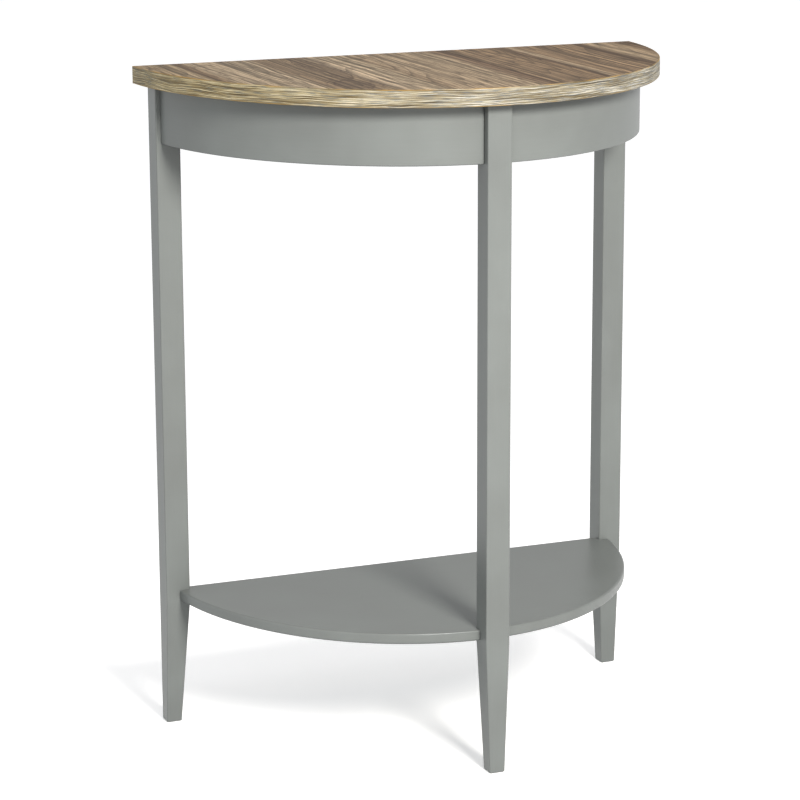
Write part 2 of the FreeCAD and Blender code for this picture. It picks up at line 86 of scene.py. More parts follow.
def satin_lacquer(name, grain):
    """Satin lacquer sprayed on sanded wood; grain is the run of its faint lines, in metres."""
    material = blank(name)
    spot = add(material, "TexCoord").outputs["Object"]
    # the wood's lines sink a few microns through the thin coat
    along = add(
        material, "Mapping", {"Vector": spot, "Scale": [1 / run for run in grain]},
    ).outputs["Vector"]
    lines = add(
        material, "TexNoise", {"Vector": along, "Scale": 1.0, "Detail": 3.0},
    ).outputs["Fac"]
    # spray peel of about 1 mm, drawn at 2.5 mm so that it shows in the render
    peel = add(
        material, "TexNoise", {"Vector": spot, "Scale": 1 / 0.0025, "Detail": 1.0},
    ).outputs["Fac"]
    # coat a little thicker and thinner over 80 mm passes of the gun
    passes = add(
        material, "TexNoise", {"Vector": spot, "Scale": 1 / 0.08, "Detail": 2.0},
    ).outputs["Fac"]
    tone = add(
        material, "Math", {0: lines, 1: 0.15, 2: passes}, operation="MULTIPLY_ADD",
    ).outputs[0]
    colour = add(
        material, "ValToRGB", {"Fac": tone}, stops=[(0.30, "#7a7d7b"), (0.85, "#848886")],
    ).outputs["Color"]
    rough = add(
        material, "MapRange",
        {"Value": passes, "From Min": 0.3, "From Max": 0.7, "To Min": 0.32, "To Max": 0.40},
    ).outputs["Result"]
    height = add(
        material, "Math", {0: lines, 1: 0.3, 2: peel}, operation="MULTIPLY_ADD",
    ).outputs[0]
    bump = add(
        material, "Bump", {"Height": height, "Strength": 0.35, "Distance": 0.00006},
    ).outputs["Normal"]
    paint = add(
        material, "BsdfPrincipled",
        {"Base Color": colour, "Roughness": rough, "IOR": 1.5, "Normal": bump},
    ).outputs["BSDF"]
    add(material, "OutputMaterial", {"Surface": paint})
    return material


def finish_node(name, material):
    """Gives a CAD node its finish."""
    mesh = nodes[name].data
    mesh.materials.clear()
    mesh.materials.append(material)


# satin lacquer: an even grey with broad, soft highlights and a trace of upright grain
leg_lacquer = satin_lacquer("satin_lacquer_on_upright_rubberwood", (0.0015, 0.0015, 0.05))
for leg in ("front_leg", "left_rear_leg", "right_rear_leg"):
    finish_node(leg, leg_lacquer)


# Aprons: two bent boards that run from the sides of the front leg round to the
# rear legs, glued and dowelled, with lightly sanded arrises and the same lacquer.
CURVE_CENTRE = 0.180
CURVE_STEPS = 288
APRON_OUTSIDE = (0.2855, 0.318)
APRON_THICKNESS = 0.018
APRON_ARRIS = 0.0014
SMOOTH_UP_TO = math.radians(35)
TOUCHING = 1e-5


def half_moon_ring(name, outside, thickness, low, high):
    """Upright elliptical ring round the curve centre; outside is its half-width and reach."""
    bpy.ops.object.select_all(action="DESELECT")
    bpy.ops.mesh.primitive_circle_add(vertices=CURVE_STEPS, radius=1)
    ring = bpy.context.object
    ring.name = ring.data.name = name
    bpy.ops.object.mode_set(mode="EDIT")
    bpy.ops.transform.resize(value=(*outside, 1))
    bpy.ops.mesh.duplicate()
    bpy.ops.transform.resize(value=(*[1 - thickness / half for half in outside], 1))
    bpy.ops.mesh.select_all(action="SELECT")
    bpy.ops.mesh.bridge_edge_loops()
    bpy.ops.mesh.select_all(action="SELECT")
    bpy.ops.transform.translate(value=(0, CURVE_CENTRE, low))
    bpy.ops.mesh.extrude_region_move(TRANSFORM_OT_translate={"value": (0, 0, high - low)})
    bpy.ops.object.mode_set(mode="OBJECT")
    return ring


def saw(place, normal):
    """Saws the active piece and closes the cut; what lies along the normal falls away."""
    bpy.ops.object.mode_set(mode="EDIT")
    bpy.ops.mesh.select_all(action="SELECT")
    bpy.ops.mesh.bisect(plane_co=place, plane_no=normal, use_fill=True, clear_outer=True)
    bpy.ops.mesh.select_all(action="SELECT")
    bpy.ops.mesh.normals_make_consistent(inside=False)
    bpy.ops.object.mode_set(mode="OBJECT")


def ease(piece, width, picked, steps=3):
    """Rounds the edges that picked chooses by their two ends, then smooths the shading."""
    for part in (*piece.data.vertices, *piece.data.edges, *piece.data.polygons):
        part.select = False
    for edge in piece.data.edges:
        edge.select = picked(*[piece.data.vertices[end].co for end in edge.vertices])
    bpy.ops.object.mode_set(mode="EDIT")
    bpy.ops.mesh.select_mode(type="EDGE")
    bpy.ops.mesh.bevel(offset=width, segments=steps, affect="EDGES", clamp_overlap=True)
    bpy.ops.object.mode_set(mode="OBJECT")
    bpy.ops.object.shade_smooth_by_angle(angle=SMOOTH_UP_TO)
    bpy.ops.object.modifier_add(type="WEIGHTED_NORMAL")
    piece.modifiers[-1].keep_sharp = True
    bpy.ops.object.modifier_apply(modifier=piece.modifiers[-1].name)


def level_edge(low, high):
    """Test for an edge that lies in the lowest or the highest plane of a piece."""
    def lies(one, other):
        return any(
            abs(one.z - z) < TOUCHING and abs(other.z - z) < TOUCHING for z in (low, high)
        )
    return lies


def apron_edge(low, high, leg_side):
    """Test for an edge of an apron's upper or lower side, or of one of its ends."""
    on_level = level_edge(low.z, high.z)

    def lies(one, other):
        at_leg = all(abs(abs(point.x) - leg_side) < TOUCHING for point in (one, other))
        at_rear = all(abs(point.y - high.y) < TOUCHING for point in (one, other))
        return on_level(one, other) or at_leg or at_rear
    return lies


def dress(piece, material, slot, *replaced):
    """Gives a modelled piece its finish and puts it in place of its CAD node."""
    piece.data.materials.append(material)
    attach(piece, "root")
    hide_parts(*replaced)


# satin lacquer: the same soft grey, its faint lines running round the curve
apron_lacquer = satin_lacquer("satin_lacquer_on_bent_board", (0.05, 0.05, 0.0015))
for side, node in ((-1, "left_apron"), (1, "right_apron")):
    low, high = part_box(node)
    apron = half_moon_ring(f"{node}_board", APRON_OUTSIDE, APRON_THICKNESS, low.z, high.z)
    leg_side = min(abs(low.x), abs(high.x))
    saw((side * leg_side, 0, 0), (-side, 0, 0))
    saw((0, high.y, 0), (0, 1, 0))
    ease(apron, APRON_ARRIS, apron_edge(low, high, leg_side))
    dress(apron, apron_lacquer, "frame_paint", node)


# Back rail: a straight planed board of rubberwood between the rear legs on the
# wall side, dowelled into them and lacquered with the frame.

# satin lacquer: the same soft grey, its faint lines running from side to side
rail_lacquer = satin_lacquer("satin_lacquer_on_level_rubberwood", (0.05, 0.0015, 0.0015))
finish_node("back_rail", rail_lacquer)


# Corner blocks: sawn blocks of bare pine glued and screwed inside the frame,
# one behind each leg, that take the leg bolts and the screws up into the top.
def bare_wood(name, grain, early, late):
    """Unfinished wood with darker growth lines; grain is the run of the lines, in metres."""
    material = blank(name)
    spot = add(material, "TexCoord").outputs["Object"]
    along = add(
        material, "Mapping", {"Vector": spot, "Scale": [1 / run for run in grain]},
    ).outputs["Vector"]
    lines = add(
        material, "TexNoise",
        {"Vector": along, "Scale": 1.0, "Detail": 4.0, "Distortion": 0.6},
    ).outputs["Fac"]
    # fuzz of 0.6 mm left by the saw and the sander
    fuzz = add(
        material, "TexNoise", {"Vector": spot, "Scale": 1 / 0.0006, "Detail": 2.0},
    ).outputs["Fac"]
    tone = add(
        material, "Math", {0: fuzz, 1: 0.25, 2: lines}, operation="MULTIPLY_ADD",
    ).outputs[0]
    colour = add(
        material, "ValToRGB", {"Fac": tone}, stops=[(0.45, late), (0.8, early)],
    ).outputs["Color"]
    bump = add(
        material, "Bump", {"Height": tone, "Strength": 0.4, "Distance": 0.0002},
    ).outputs["Normal"]
    wood = add(
        material, "BsdfPrincipled",
        {"Base Color": colour, "Roughness": 0.75, "IOR": 1.5, "Normal": bump},
    ).outputs["BSDF"]
    add(material, "OutputMaterial", {"Surface": wood})
    return material


# sawn pine: pale and dull, with soft brown growth lines
block_pine = bare_wood("sawn_pine", (0.06, 0.003, 0.003), "#d9bd8d", "#b18a56")
for block in ("front_corner_block", "left_corner_block", "right_corner_block"):
    finish_node(block, block_pine)


# Dowels: turned beech pins glued into the legs, the aprons, the rail and the
# shelf. They are hidden once the table is together.

# turned beech: warm, close-grained and dull, with hardly any lines
dowel_beech = bare_wood("turned_beech", (0.004, 0.004, 0.004), "#d8b48a", "#bd9060")
for dowels in ("apron_front_dowels", "apron_rear_dowels", "rail_dowels", "shelf_front_dowels"):
    finish_node(dowels, dowel_beech)


# Leg bolts, washers and inserts: socket-head bolts with zinc-plated washers pass
# through the blocks into turned brass inserts in the legs.
def machined_metal(name, light, dark, roughness):
    """Turned or plated metal with fine tool lines and a slightly clouded surface."""
    material = blank(name)
    spot = add(material, "TexCoord").outputs["Object"]
    # clouds of 4 mm and tool lines of 0.4 mm
    cloud = add(
        material, "TexNoise", {"Vector": spot, "Scale": 1 / 0.004, "Detail": 3.0},
    ).outputs["Fac"]
    tool = add(
        material, "TexNoise", {"Vector": spot, "Scale": 1 / 0.0004, "Detail": 1.0},
    ).outputs["Fac"]
    colour = add(
        material, "ValToRGB", {"Fac": cloud}, stops=[(0.3, dark), (0.7, light)],
    ).outputs["Color"]
    rough = add(
        material, "MapRange",
        {
            "Value": cloud, "From Min": 0.3, "From Max": 0.7,
            "To Min": roughness - 0.06, "To Max": roughness + 0.08,
        },
    ).outputs["Result"]
    bump = add(
        material, "Bump", {"Height": tool, "Strength": 0.15, "Distance": 0.00005},
    ).outputs["Normal"]
    metal = add(
        material, "BsdfPrincipled",
        {"Base Color": colour, "Metallic": 1.0, "Roughness": rough, "Normal": bump},
    ).outputs["BSDF"]
    add(material, "OutputMaterial", {"Surface": metal})
    return material


# bright zinc plate: cool silver, a little clouded, with small sharp glints
zinc_plate = machined_metal("bright_zinc_plated_steel", "#c9ccce", "#a9adb2", 0.32)
# turned brass: warm yellow with fine tool lines
turned_brass = machined_metal("turned_brass", "#d8b45e", "#b48f42", 0.28)
finish_node("leg_inserts", turned_brass)
for fitting in ("leg_bolts", "leg_bolt_washers"):
    finish_node(fitting, zinc_plate)


# Wood screws: countersunk steel screws with a cross recess, rolled from wire and
# zinc plated. They hold the blocks to the aprons and the rail, the top to the
# blocks, and the shelf to the rear legs.
SCREW_SIDES = 24
HEAD_RADIUS = 0.004
HEAD_LAND = 0.0001
HEAD_DEPTH = 0.002
SHANK_RADIUS = 0.002
ROOT_RADIUS = 0.0014
THREAD_PITCH = 0.002
SCREW_TIP = 0.004
TIP_TAPER = 0.1
RECESS_SPAN = 0.0046
RECESS_WIDTH = 0.0011
RECESS_DEPTH = 0.0015
RECESS_TAPER = 0.6
FRONT_TOP_SCREW = 0.022


def cut_away(piece, tool):
    """Cuts the shape of a tool out of a piece and takes the tool away."""
    bpy.ops.object.select_all(action="DESELECT")
    piece.select_set(True)
    bpy.context.view_layer.objects.active = piece
    bpy.ops.object.modifier_add(type="BOOLEAN")
    piece.modifiers[-1].object = tool
    piece.modifiers[-1].operation = "DIFFERENCE"
    bpy.ops.object.modifier_apply(modifier=piece.modifiers[-1].name)
    bpy.data.objects.remove(tool)


def wood_screw(name, length):
    """Screw that points down, with the flat of its head at height zero."""
    bpy.ops.object.select_all(action="DESELECT")
    bpy.ops.mesh.primitive_circle_add(
        vertices=SCREW_SIDES, radius=HEAD_RADIUS, fill_type="NGON",
    )
    screw = bpy.context.object
    screw.name = screw.data.name = name
    turns = int((length - HEAD_DEPTH - SCREW_TIP) / THREAD_PITCH) - 2
    neck = length - HEAD_DEPTH - SCREW_TIP - turns * THREAD_PITCH
    cone = HEAD_DEPTH - HEAD_LAND
    # the thread is drawn as plain rings, as it is out of sight in the wood
    thread = [
        (THREAD_PITCH / 2, ROOT_RADIUS / SHANK_RADIUS),
        (THREAD_PITCH / 2, SHANK_RADIUS / ROOT_RADIUS),
    ]
    steps = [
        (HEAD_LAND, 1), (cone, SHANK_RADIUS / HEAD_RADIUS), (neck, 1),
        *thread * turns, (SCREW_TIP, TIP_TAPER),
    ]
    bpy.ops.object.mode_set(mode="EDIT")
    for drop, taper in steps:
        bpy.ops.mesh.extrude_region_move(TRANSFORM_OT_translate={"value": (0, 0, -drop)})
        bpy.ops.transform.resize(value=(taper, taper, 1))
    bpy.ops.mesh.select_all(action="SELECT")
    bpy.ops.mesh.normals_make_consistent(inside=False)
    bpy.ops.object.mode_set(mode="OBJECT")
    # two punches, narrower at the bottom, make the cross
    for span in ((RECESS_SPAN, RECESS_WIDTH), (RECESS_WIDTH, RECESS_SPAN)):
        bpy.ops.object.select_all(action="DESELECT")
        bpy.ops.mesh.primitive_cube_add(size=1)
        punch = bpy.context.object
        bpy.ops.object.mode_set(mode="EDIT")
        bpy.ops.transform.resize(value=(*span, 2 * RECESS_DEPTH))
        bpy.ops.object.mode_set(mode="OBJECT")
        for part in (*punch.data.vertices, *punch.data.edges, *punch.data.polygons):
            part.select = False
        for face in punch.data.polygons:
            face.select = face.normal.z < -0.5
        bpy.ops.object.mode_set(mode="EDIT")
        bpy.ops.mesh.select_mode(type="FACE")
        bpy.ops.transform.resize(value=(RECESS_TAPER, RECESS_TAPER, 1))
        bpy.ops.object.mode_set(mode="OBJECT")
        cut_away(screw, punch)
    bpy.ops.object.shade_smooth_by_angle(angle=SMOOTH_UP_TO)
    return screw


for node, aim in (
    ("block_screws", Vector((0, -1, 0))),
    ("rail_screws", Vector((0, 1, 0))),
    ("shelf_screws", Vector((0, -1, 0))),
    ("top_screws", Vector((0, 0, 1))),
):
    low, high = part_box(node)
    length = abs((high - low).dot(aim))
    start = (low + high) / 2 - aim * length / 2
    pairs = [(high.x - HEAD_RADIUS, start.y)]
    if node == "top_screws":
        pairs = [
            (FRONT_TOP_SCREW, low.y + HEAD_RADIUS),
            (high.x - HEAD_RADIUS, high.y - HEAD_RADIUS),
        ]
    heads = [(side * x, y, start.z) for x, y in pairs for side in (-1, 1)]
    pattern = wood_screw(f"{node}_pattern", length)
    for number, head in enumerate(heads, 1):
        bpy.ops.object.select_all(action="DESELECT")
        pattern.select_set(True)
        bpy.context.view_layer.objects.active = pattern
        bpy.ops.object.duplicate()
        screw = bpy.context.object
        screw.name = screw.data.name = f"{node[:-1]}_{number}"
        screw.location = head
        screw.rotation_euler = aim.to_track_quat("-Z", "Y").to_euler()
        bpy.ops.object.transform_apply(location=True, rotation=True, scale=True)
        dress(screw, zinc_plate, "zinc_steel", node)
    bpy.data.objects.remove(pattern)


# Shelf: a half-moon board sawn to the curve, notched round the three legs and
# rounded over on its long arrises, dowelled and screwed to the legs, lacquered.
SHELF_OUTSIDE = (0.2755, 0.310)
SHELF_ROUND = 0.0022
NOTCH_CLEARANCE = 0.0002
low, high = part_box("shelf")
bpy.ops.object.select_all(action="DESELECT")
bpy.ops.mesh.primitive_circle_add(vertices=CURVE_STEPS, radius=1, fill_type="NGON")
shelf = bpy.context.object
shelf.name = shelf.data.name = "shelf_board"
bpy.ops.object.mode_set(mode="EDIT")
bpy.ops.transform.resize(value=(*SHELF_OUTSIDE, 1))
bpy.ops.transform.translate(value=(0, CURVE_CENTRE, low.z))
bpy.ops.mesh.extrude_region_move(TRANSFORM_OT_translate={"value": (0, 0, high.z - low.z)})
bpy.ops.object.mode_set(mode="OBJECT")
saw((0, high.y, 0), (0, 1, 0))
leg_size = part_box("front_leg")[1].x * 2
notches = []
for leg in ("front_leg", "left_rear_leg", "right_rear_leg"):
    leg_low, leg_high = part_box(leg)
    middle = (leg_low + leg_high) / 2
    bpy.ops.object.select_all(action="DESELECT")
    middle.z = (low.z + high.z) / 2
    bpy.ops.mesh.primitive_cube_add(size=leg_size + 2 * NOTCH_CLEARANCE, location=middle)
    notches.append((middle.x, middle.y))
    cut_away(shelf, bpy.context.object)

shelf_level = level_edge(low.z, high.z)
notch_half = leg_size / 2 + NOTCH_CLEARANCE + TOUCHING


def shelf_arris(one, other):
    """Test for an edge of the shelf's upper or lower side, outside the notches."""
    in_notch = any(
        all(
            abs(point.x - x) < notch_half and abs(point.y - y) < notch_half
            for point in (one, other)
        )
        for x, y in notches
    )
    return shelf_level(one, other) and not in_notch


ease(shelf, SHELF_ROUND, shelf_arris, steps=4)
# satin lacquer: the same grey, which takes a broad, low sheen on the flat face
shelf_lacquer = satin_lacquer("satin_lacquer_on_board", (0.05, 0.002, 0.002))
dress(shelf, shelf_lacquer, "frame_paint", "shelf")


# Top core and backing: pressed fibreboard with a plain balancing paper below,
# hidden by the face and the bands except from underneath.

# pressed fibreboard: an even, dull brown with a fine matted grain
core_fibre = blank("pressed_fibreboard")
spot = add(core_fibre, "TexCoord").outputs["Object"]
# matted wood fibres of 1 to 3 mm, lying flat
flat = add(
    core_fibre, "Mapping",
    {"Vector": spot, "Scale": (1 / 0.003, 1 / 0.003, 1 / 0.0008)},
).outputs["Vector"]
mat = add(
    core_fibre, "TexNoise",
    {"Vector": flat, "Scale": 1.0, "Detail": 4.0, "Roughness": 0.6},
).outputs["Fac"]
colour = add(
    core_fibre, "ValToRGB", {"Fac": mat}, stops=[(0.3, "#a08a6c"), (0.7, "#bba486")],
).outputs["Color"]
bump = add(
    core_fibre, "Bump", {"Height": mat, "Strength": 0.3, "Distance": 0.0001},
).outputs["Normal"]
board = add(
    core_fibre, "BsdfPrincipled",
    {"Base Color": colour, "Roughness": 0.85, "IOR": 1.5, "Normal": bump},
).outputs["BSDF"]
add(core_fibre, "OutputMaterial", {"Surface": board})
finish_node("top_core", core_fibre)

# paper soaked in resin: smooth, plain beige with a low sheen
backing_paper = blank("resin_balancing_paper")
spot = add(backing_paper, "TexCoord").outputs["Object"]
# paper fibres of a few millimetres under a resin film
fibre = add(
    backing_paper, "TexNoise", {"Vector": spot, "Scale": 1 / 0.003, "Detail": 5.0},
).outputs["Fac"]
colour = add(
    backing_paper, "ValToRGB", {"Fac": fibre}, stops=[(0.3, "#b9a68b"), (0.7, "#c9b79c")],
).outputs["Color"]
bump = add(
    backing_paper, "Bump", {"Height": fibre, "Strength": 0.15, "Distance": 0.0001},
).outputs["Normal"]
paper = add(
    backing_paper, "BsdfPrincipled",
    {"Base Color": colour, "Roughness": 0.55, "IOR": 1.5, "Normal": bump},
).outputs["BSDF"]
add(backing_paper, "OutputMaterial", {"Surface": paper})
finish_node("top_backing_sheet", backing_paper)


# Edge bands: limed-oak print on a 1 mm strip, glued round the curve and across
# the straight back edge, its arrises scraped round so that a golden line shows.
TOP_OUTSIDE = (0.30521, 0.347)
BAND_THICKNESS = 0.001
BAND_ARRIS = 0.0008
ON_CURVE = 0.998
WANDER = 0.004
STREAK = (0.060, 0.060, 0.0006)
FLECK = (0.018, 0.018, 0.0006)
SCRAPED_FROM = 0.0011
SCRAPED_TO = 0.0005
low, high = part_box("top_front_edge_band")

# limed-oak print: cream and golden streaks with grey dashes, slightly satin
limed_band = blank("limed_oak_printed_edge_band")
spot = add(limed_band, "TexCoord").outputs["Object"]
# the printed grain runs along the edge and wanders up and down by a millimetre or two
wander = add(
    limed_band, "TexNoise", {"Vector": spot, "Scale": 1 / 0.05, "Detail": 1.0},
).outputs["Fac"]
lift = add(
    limed_band, "Math", {0: wander, 1: WANDER, 2: -WANDER / 2}, operation="MULTIPLY_ADD",
).outputs[0]
raise_by = add(limed_band, "CombineXYZ", {"Z": lift}).outputs["Vector"]
grain_spot = add(
    limed_band, "VectorMath", {0: spot, 1: raise_by}, operation="ADD",
).outputs["Vector"]
# cream and golden streaks about 0.6 mm high and 60 mm long
long = add(
    limed_band, "Mapping", {"Vector": grain_spot, "Scale": [1 / run for run in STREAK]},
).outputs["Vector"]
streaks = add(
    limed_band, "TexNoise",
    {"Vector": long, "Scale": 1.0, "Detail": 3.0, "Roughness": 0.6},
).outputs["Fac"]
colour = add(
    limed_band, "ValToRGB", {"Fac": streaks},
    stops=[
        (0.36, "#463b28"), (0.43, "#766b52"), (0.50, "#928973"),
        (0.56, "#aba593"), (0.63, "#d6d3ca"),
    ],
).outputs["Color"]
# grey lime caught in the pores, in dashes of 0.6 by 18 mm
fleck = add(
    limed_band, "Mapping", {"Vector": grain_spot, "Scale": [1 / run for run in FLECK]},
).outputs["Vector"]
pores = add(
    limed_band, "TexNoise",
    {"Vector": fleck, "Scale": 1.0, "Detail": 2.0, "Roughness": 0.6},
).outputs["Fac"]
grey = add(
    limed_band, "MapRange",
    {"Value": pores, "From Min": 0.53, "From Max": 0.61, "To Max": 0.8},
).outputs["Result"]
printed = add(
    limed_band, "Mix", {0: grey, 6: colour, 7: linear("#6f7478")},
    data_type="RGBA", blend_type="MIX",
).outputs[2]
# painted shade: the print is darkened and turned golden towards the left end, which turns away
# from the light
along_edge = add(limed_band, "SeparateXYZ", {"Vector": spot}).outputs
left_end_painted_shade = add(
    limed_band, "MapRange",
    {"Value": along_edge["X"], "From Min": -0.05, "From Max": -0.28, "To Max": 0.85},
).outputs["Result"]
print_with_painted_shade = add(
    limed_band, "Mix", {0: left_end_painted_shade, 6: printed, 7: linear("#fff2cc")},
    data_type="RGBA", blend_type="MULTIPLY",
).outputs[2]
# bare golden arris where the scraper went deeper, in runs of 20 to 40 mm
middle = (low.z + high.z) / 2
reach = (high.z - low.z) / 2
off_middle = add(
    limed_band, "Math", {0: along_edge["Z"], 1: middle}, operation="SUBTRACT",
).outputs[0]
from_middle = add(limed_band, "Math", {0: off_middle}, operation="ABSOLUTE").outputs[0]
near_arris = add(
    limed_band, "MapRange",
    {
        "Value": from_middle,
        "From Min": reach - SCRAPED_FROM, "From Max": reach - SCRAPED_TO,
    },
).outputs["Result"]
runs = add(
    limed_band, "TexNoise", {"Vector": spot, "Scale": 1 / 0.03, "Detail": 2.0},
).outputs["Fac"]
depth = add(
    limed_band, "MapRange",
    {"Value": runs, "From Min": 0.40, "From Max": 0.60, "To Min": 0.15, "To Max": 0.95},
).outputs["Result"]
scraped = add(limed_band, "Math", {0: near_arris, 1: depth}, operation="MULTIPLY").outputs[0]
edge_colour = add(
    limed_band, "Mix", {0: scraped, 6: print_with_painted_shade, 7: linear("#a3854c")},
    data_type="RGBA", blend_type="MIX",
).outputs[2]
bump = add(
    limed_band, "Bump", {"Height": streaks, "Strength": 0.2, "Distance": 0.0001},
).outputs["Normal"]
band_skin = add(
    limed_band, "BsdfPrincipled",
    {"Base Color": edge_colour, "Roughness": 0.5, "IOR": 1.5, "Normal": bump},
).outputs["BSDF"]
add(limed_band, "OutputMaterial", {"Surface": band_skin})

front_band = half_moon_ring("front_edge_strip", TOP_OUTSIDE, BAND_THICKNESS, low.z, high.z)
saw((0, high.y, 0), (0, 1, 0))
band_level = level_edge(low.z, high.z)


def outer_arris(one, other):
    """Test for an edge on the outer curve of the front band."""
    half_width, depth_of_curve = TOP_OUTSIDE
    on_curve = all(
        (point.x / half_width) ** 2 + ((point.y - CURVE_CENTRE) / depth_of_curve) ** 2 > ON_CURVE
        for point in (one, other)
    )
    return band_level(one, other) and on_curve


ease(front_band, BAND_ARRIS, outer_arris)
dress(front_band, limed_band, "edge_band", "top_front_edge_band")

low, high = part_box("top_back_edge_band")
bpy.ops.object.select_all(action="DESELECT")
bpy.ops.mesh.primitive_cube_add(size=1)
back_band = bpy.context.object
back_band.name = back_band.data.name = "back_edge_strip"
bpy.ops.object.mode_set(mode="EDIT")
bpy.ops.transform.resize(value=high - low)
bpy.ops.transform.translate(value=(low + high) / 2)
bpy.ops.object.mode_set(mode="OBJECT")


def wall_arris(one, other):
    """Test for an edge on the wall side of the back band."""
    at_wall = all(abs(point.y - high.y) < TOUCHING for point in (one, other))
    return band_level(one, other) and at_wall


ease(back_band, BAND_ARRIS, wall_arris)
dress(back_band, limed_band, "edge_band", "top_back_edge_band")


# Top face: a printed oak sheet with its grain running from the wall to the
# front, in weathered grey-brown boards, pressed on the core and sanded matt.
SWAY = 0.014
TOP_HALF = 0.305
RINGS = 18.0
# width and length in metres, then the darkest and the lightest share of the tone
GRAIN_LINES = ((0.0044, 0.34, 0.64, 1.31), (0.0016, 0.20, 0.74, 1.25))
# middle and half-size in metres
FLAMES = (((-0.121, 0.066), (0.018, 0.165)), ((-0.138, -0.080), (0.030, 0.050)))

# weathered-oak print: matt grey-brown boards with darker lines, figure and pores
oak_face = blank("weathered_oak_printed_sheet")
spot = add(oak_face, "TexCoord").outputs["Object"]
axes = add(oak_face, "SeparateXYZ", {"Vector": spot}).outputs
# boards and streaks wander sideways by a few millimetres along their length
bend = add(
    oak_face, "Mapping", {"Vector": spot, "Scale": (1 / 0.05, 1 / 0.20, 1.0)},
).outputs["Vector"]
sway = add(oak_face, "TexNoise", {"Vector": bend, "Scale": 1.0, "Detail": 2.0}).outputs["Fac"]
shift = add(
    oak_face, "Math", {0: sway, 1: SWAY, 2: -SWAY / 2}, operation="MULTIPLY_ADD",
).outputs[0]
across = add(oak_face, "Math", {0: axes["X"], 1: shift}, operation="ADD").outputs[0]
# broad tones from the left end of the board to the right
place = add(
    oak_face, "MapRange", {"Value": across, "From Min": -TOP_HALF, "From Max": TOP_HALF},
).outputs["Result"]
boards = add(
    oak_face, "ValToRGB", {"Fac": place},
    stops=[
        (0.00, "#a08d73"), (0.065, "#a5947b"), (0.078, "#705d4a"), (0.088, "#8f7d67"),
        (0.10, "#af9e87"), (0.21, "#b2a18a"), (0.225, "#8d7b66"), (0.265, "#94826c"),
        (0.285, "#94826c"), (0.315, "#98866f"), (0.325, "#b8a68f"), (0.39, "#b5a48c"),
        (0.41, "#97856f"), (0.44, "#a8967f"), (0.56, "#af9d85"), (0.58, "#8e7a65"),
        (0.60, "#6a5746"), (0.607, "#937f68"), (0.71, "#917c64"), (0.725, "#6c5947"),
        (0.74, "#b8a58c"), (0.755, "#947f67"), (0.86, "#927d65"), (0.885, "#655240"),
        (0.905, "#a5937b"), (0.95, "#9d8a72"), (0.97, "#7f6a53"), (1.00, "#7a654f"),
    ],
).outputs["Color"]
swayed = add(
    oak_face, "CombineXYZ", {"X": across, "Y": axes["Y"], "Z": axes["Z"]},
).outputs["Vector"]
# growth rings cut flat: arched lines 4 to 10 mm apart, sharp on one side and fading
# on the other
arch = add(
    oak_face, "Mapping", {"Vector": swayed, "Scale": (1 / 0.05, 1 / 0.5, 1.0)},
).outputs["Vector"]
swell = add(oak_face, "TexNoise", {"Vector": arch, "Scale": 1.0, "Detail": 1.0}).outputs["Fac"]
spread_out = add(oak_face, "Math", {0: swell, 1: RINGS}, operation="MULTIPLY").outputs[0]
ring = add(oak_face, "Math", {0: spread_out}, operation="FRACT").outputs[0]
tone = add(
    oak_face, "MapRange", {"Value": ring, "From Max": 0.4, "To Min": 0.56, "To Max": 0.96},
).outputs["Result"]
# lines of 4.4 mm between them, and fibres drawn at 1.6 mm so that they show
for width, length, dark, light in GRAIN_LINES:
    drawn = add(
        oak_face, "Mapping", {"Vector": swayed, "Scale": (1 / width, 1 / length, 1.0)},
    ).outputs["Vector"]
    lines = add(
        oak_face, "TexNoise", {"Vector": drawn, "Scale": 1.0, "Detail": 1.0},
    ).outputs["Fac"]
    share = add(
        oak_face, "MapRange",
        {"Value": lines, "From Min": 0.36, "From Max": 0.62, "To Min": dark, "To Max": light},
    ).outputs["Result"]
    tone = add(oak_face, "Math", {0: tone, 1: share}, operation="MULTIPLY").outputs[0]
figured = add(
    oak_face, "HueSaturation", {"Color": boards, "Saturation": 1.05, "Value": tone},
).outputs["Color"]
# flame figure left of the middle: a long dark oval with a darker rim, and a knotted
# swirl in front of it, both pulled out of shape by a few millimetres
eddies = add(
    oak_face, "TexNoise", {"Vector": spot, "Scale": 1 / 0.035, "Detail": 2.0},
).outputs["Color"]
evened = add(
    oak_face, "VectorMath", {0: eddies, 1: (0.5, 0.5, 0.5)}, operation="SUBTRACT",
).outputs["Vector"]
pulled = add(
    oak_face, "VectorMath", {0: evened, 1: (0.018, 0.06, 0.0), 2: swayed},
    operation="MULTIPLY_ADD",
).outputs["Vector"]
for centre, half in FLAMES:
    oval = add(
        oak_face, "Mapping",
        {
            "Vector": pulled,
            "Scale": (1 / half[0], 1 / half[1], 0.0),
            "Location": (-centre[0] / half[0], -centre[1] / half[1], 0.0),
        },
    ).outputs["Vector"]
    inside = add(
        oak_face, "TexGradient", {"Vector": oval}, gradient_type="SPHERICAL",
    ).outputs["Fac"]
    flame = add(
        oak_face, "ValToRGB", {"Fac": inside},
        stops=[
            (0.00, "#000000"), (0.07, "#a8a8a8"), (0.13, "#303030"), (0.30, "#484848"),
            (0.36, "#e4e4e4"), (0.44, "#a0a0a0"), (1.00, "#909090"),
        ],
    ).outputs["Color"]
    figured = add(
        oak_face, "Mix", {0: flame, 6: figured, 7: linear("#55453a")},
        data_type="RGBA", blend_type="MIX",
    ).outputs[2]
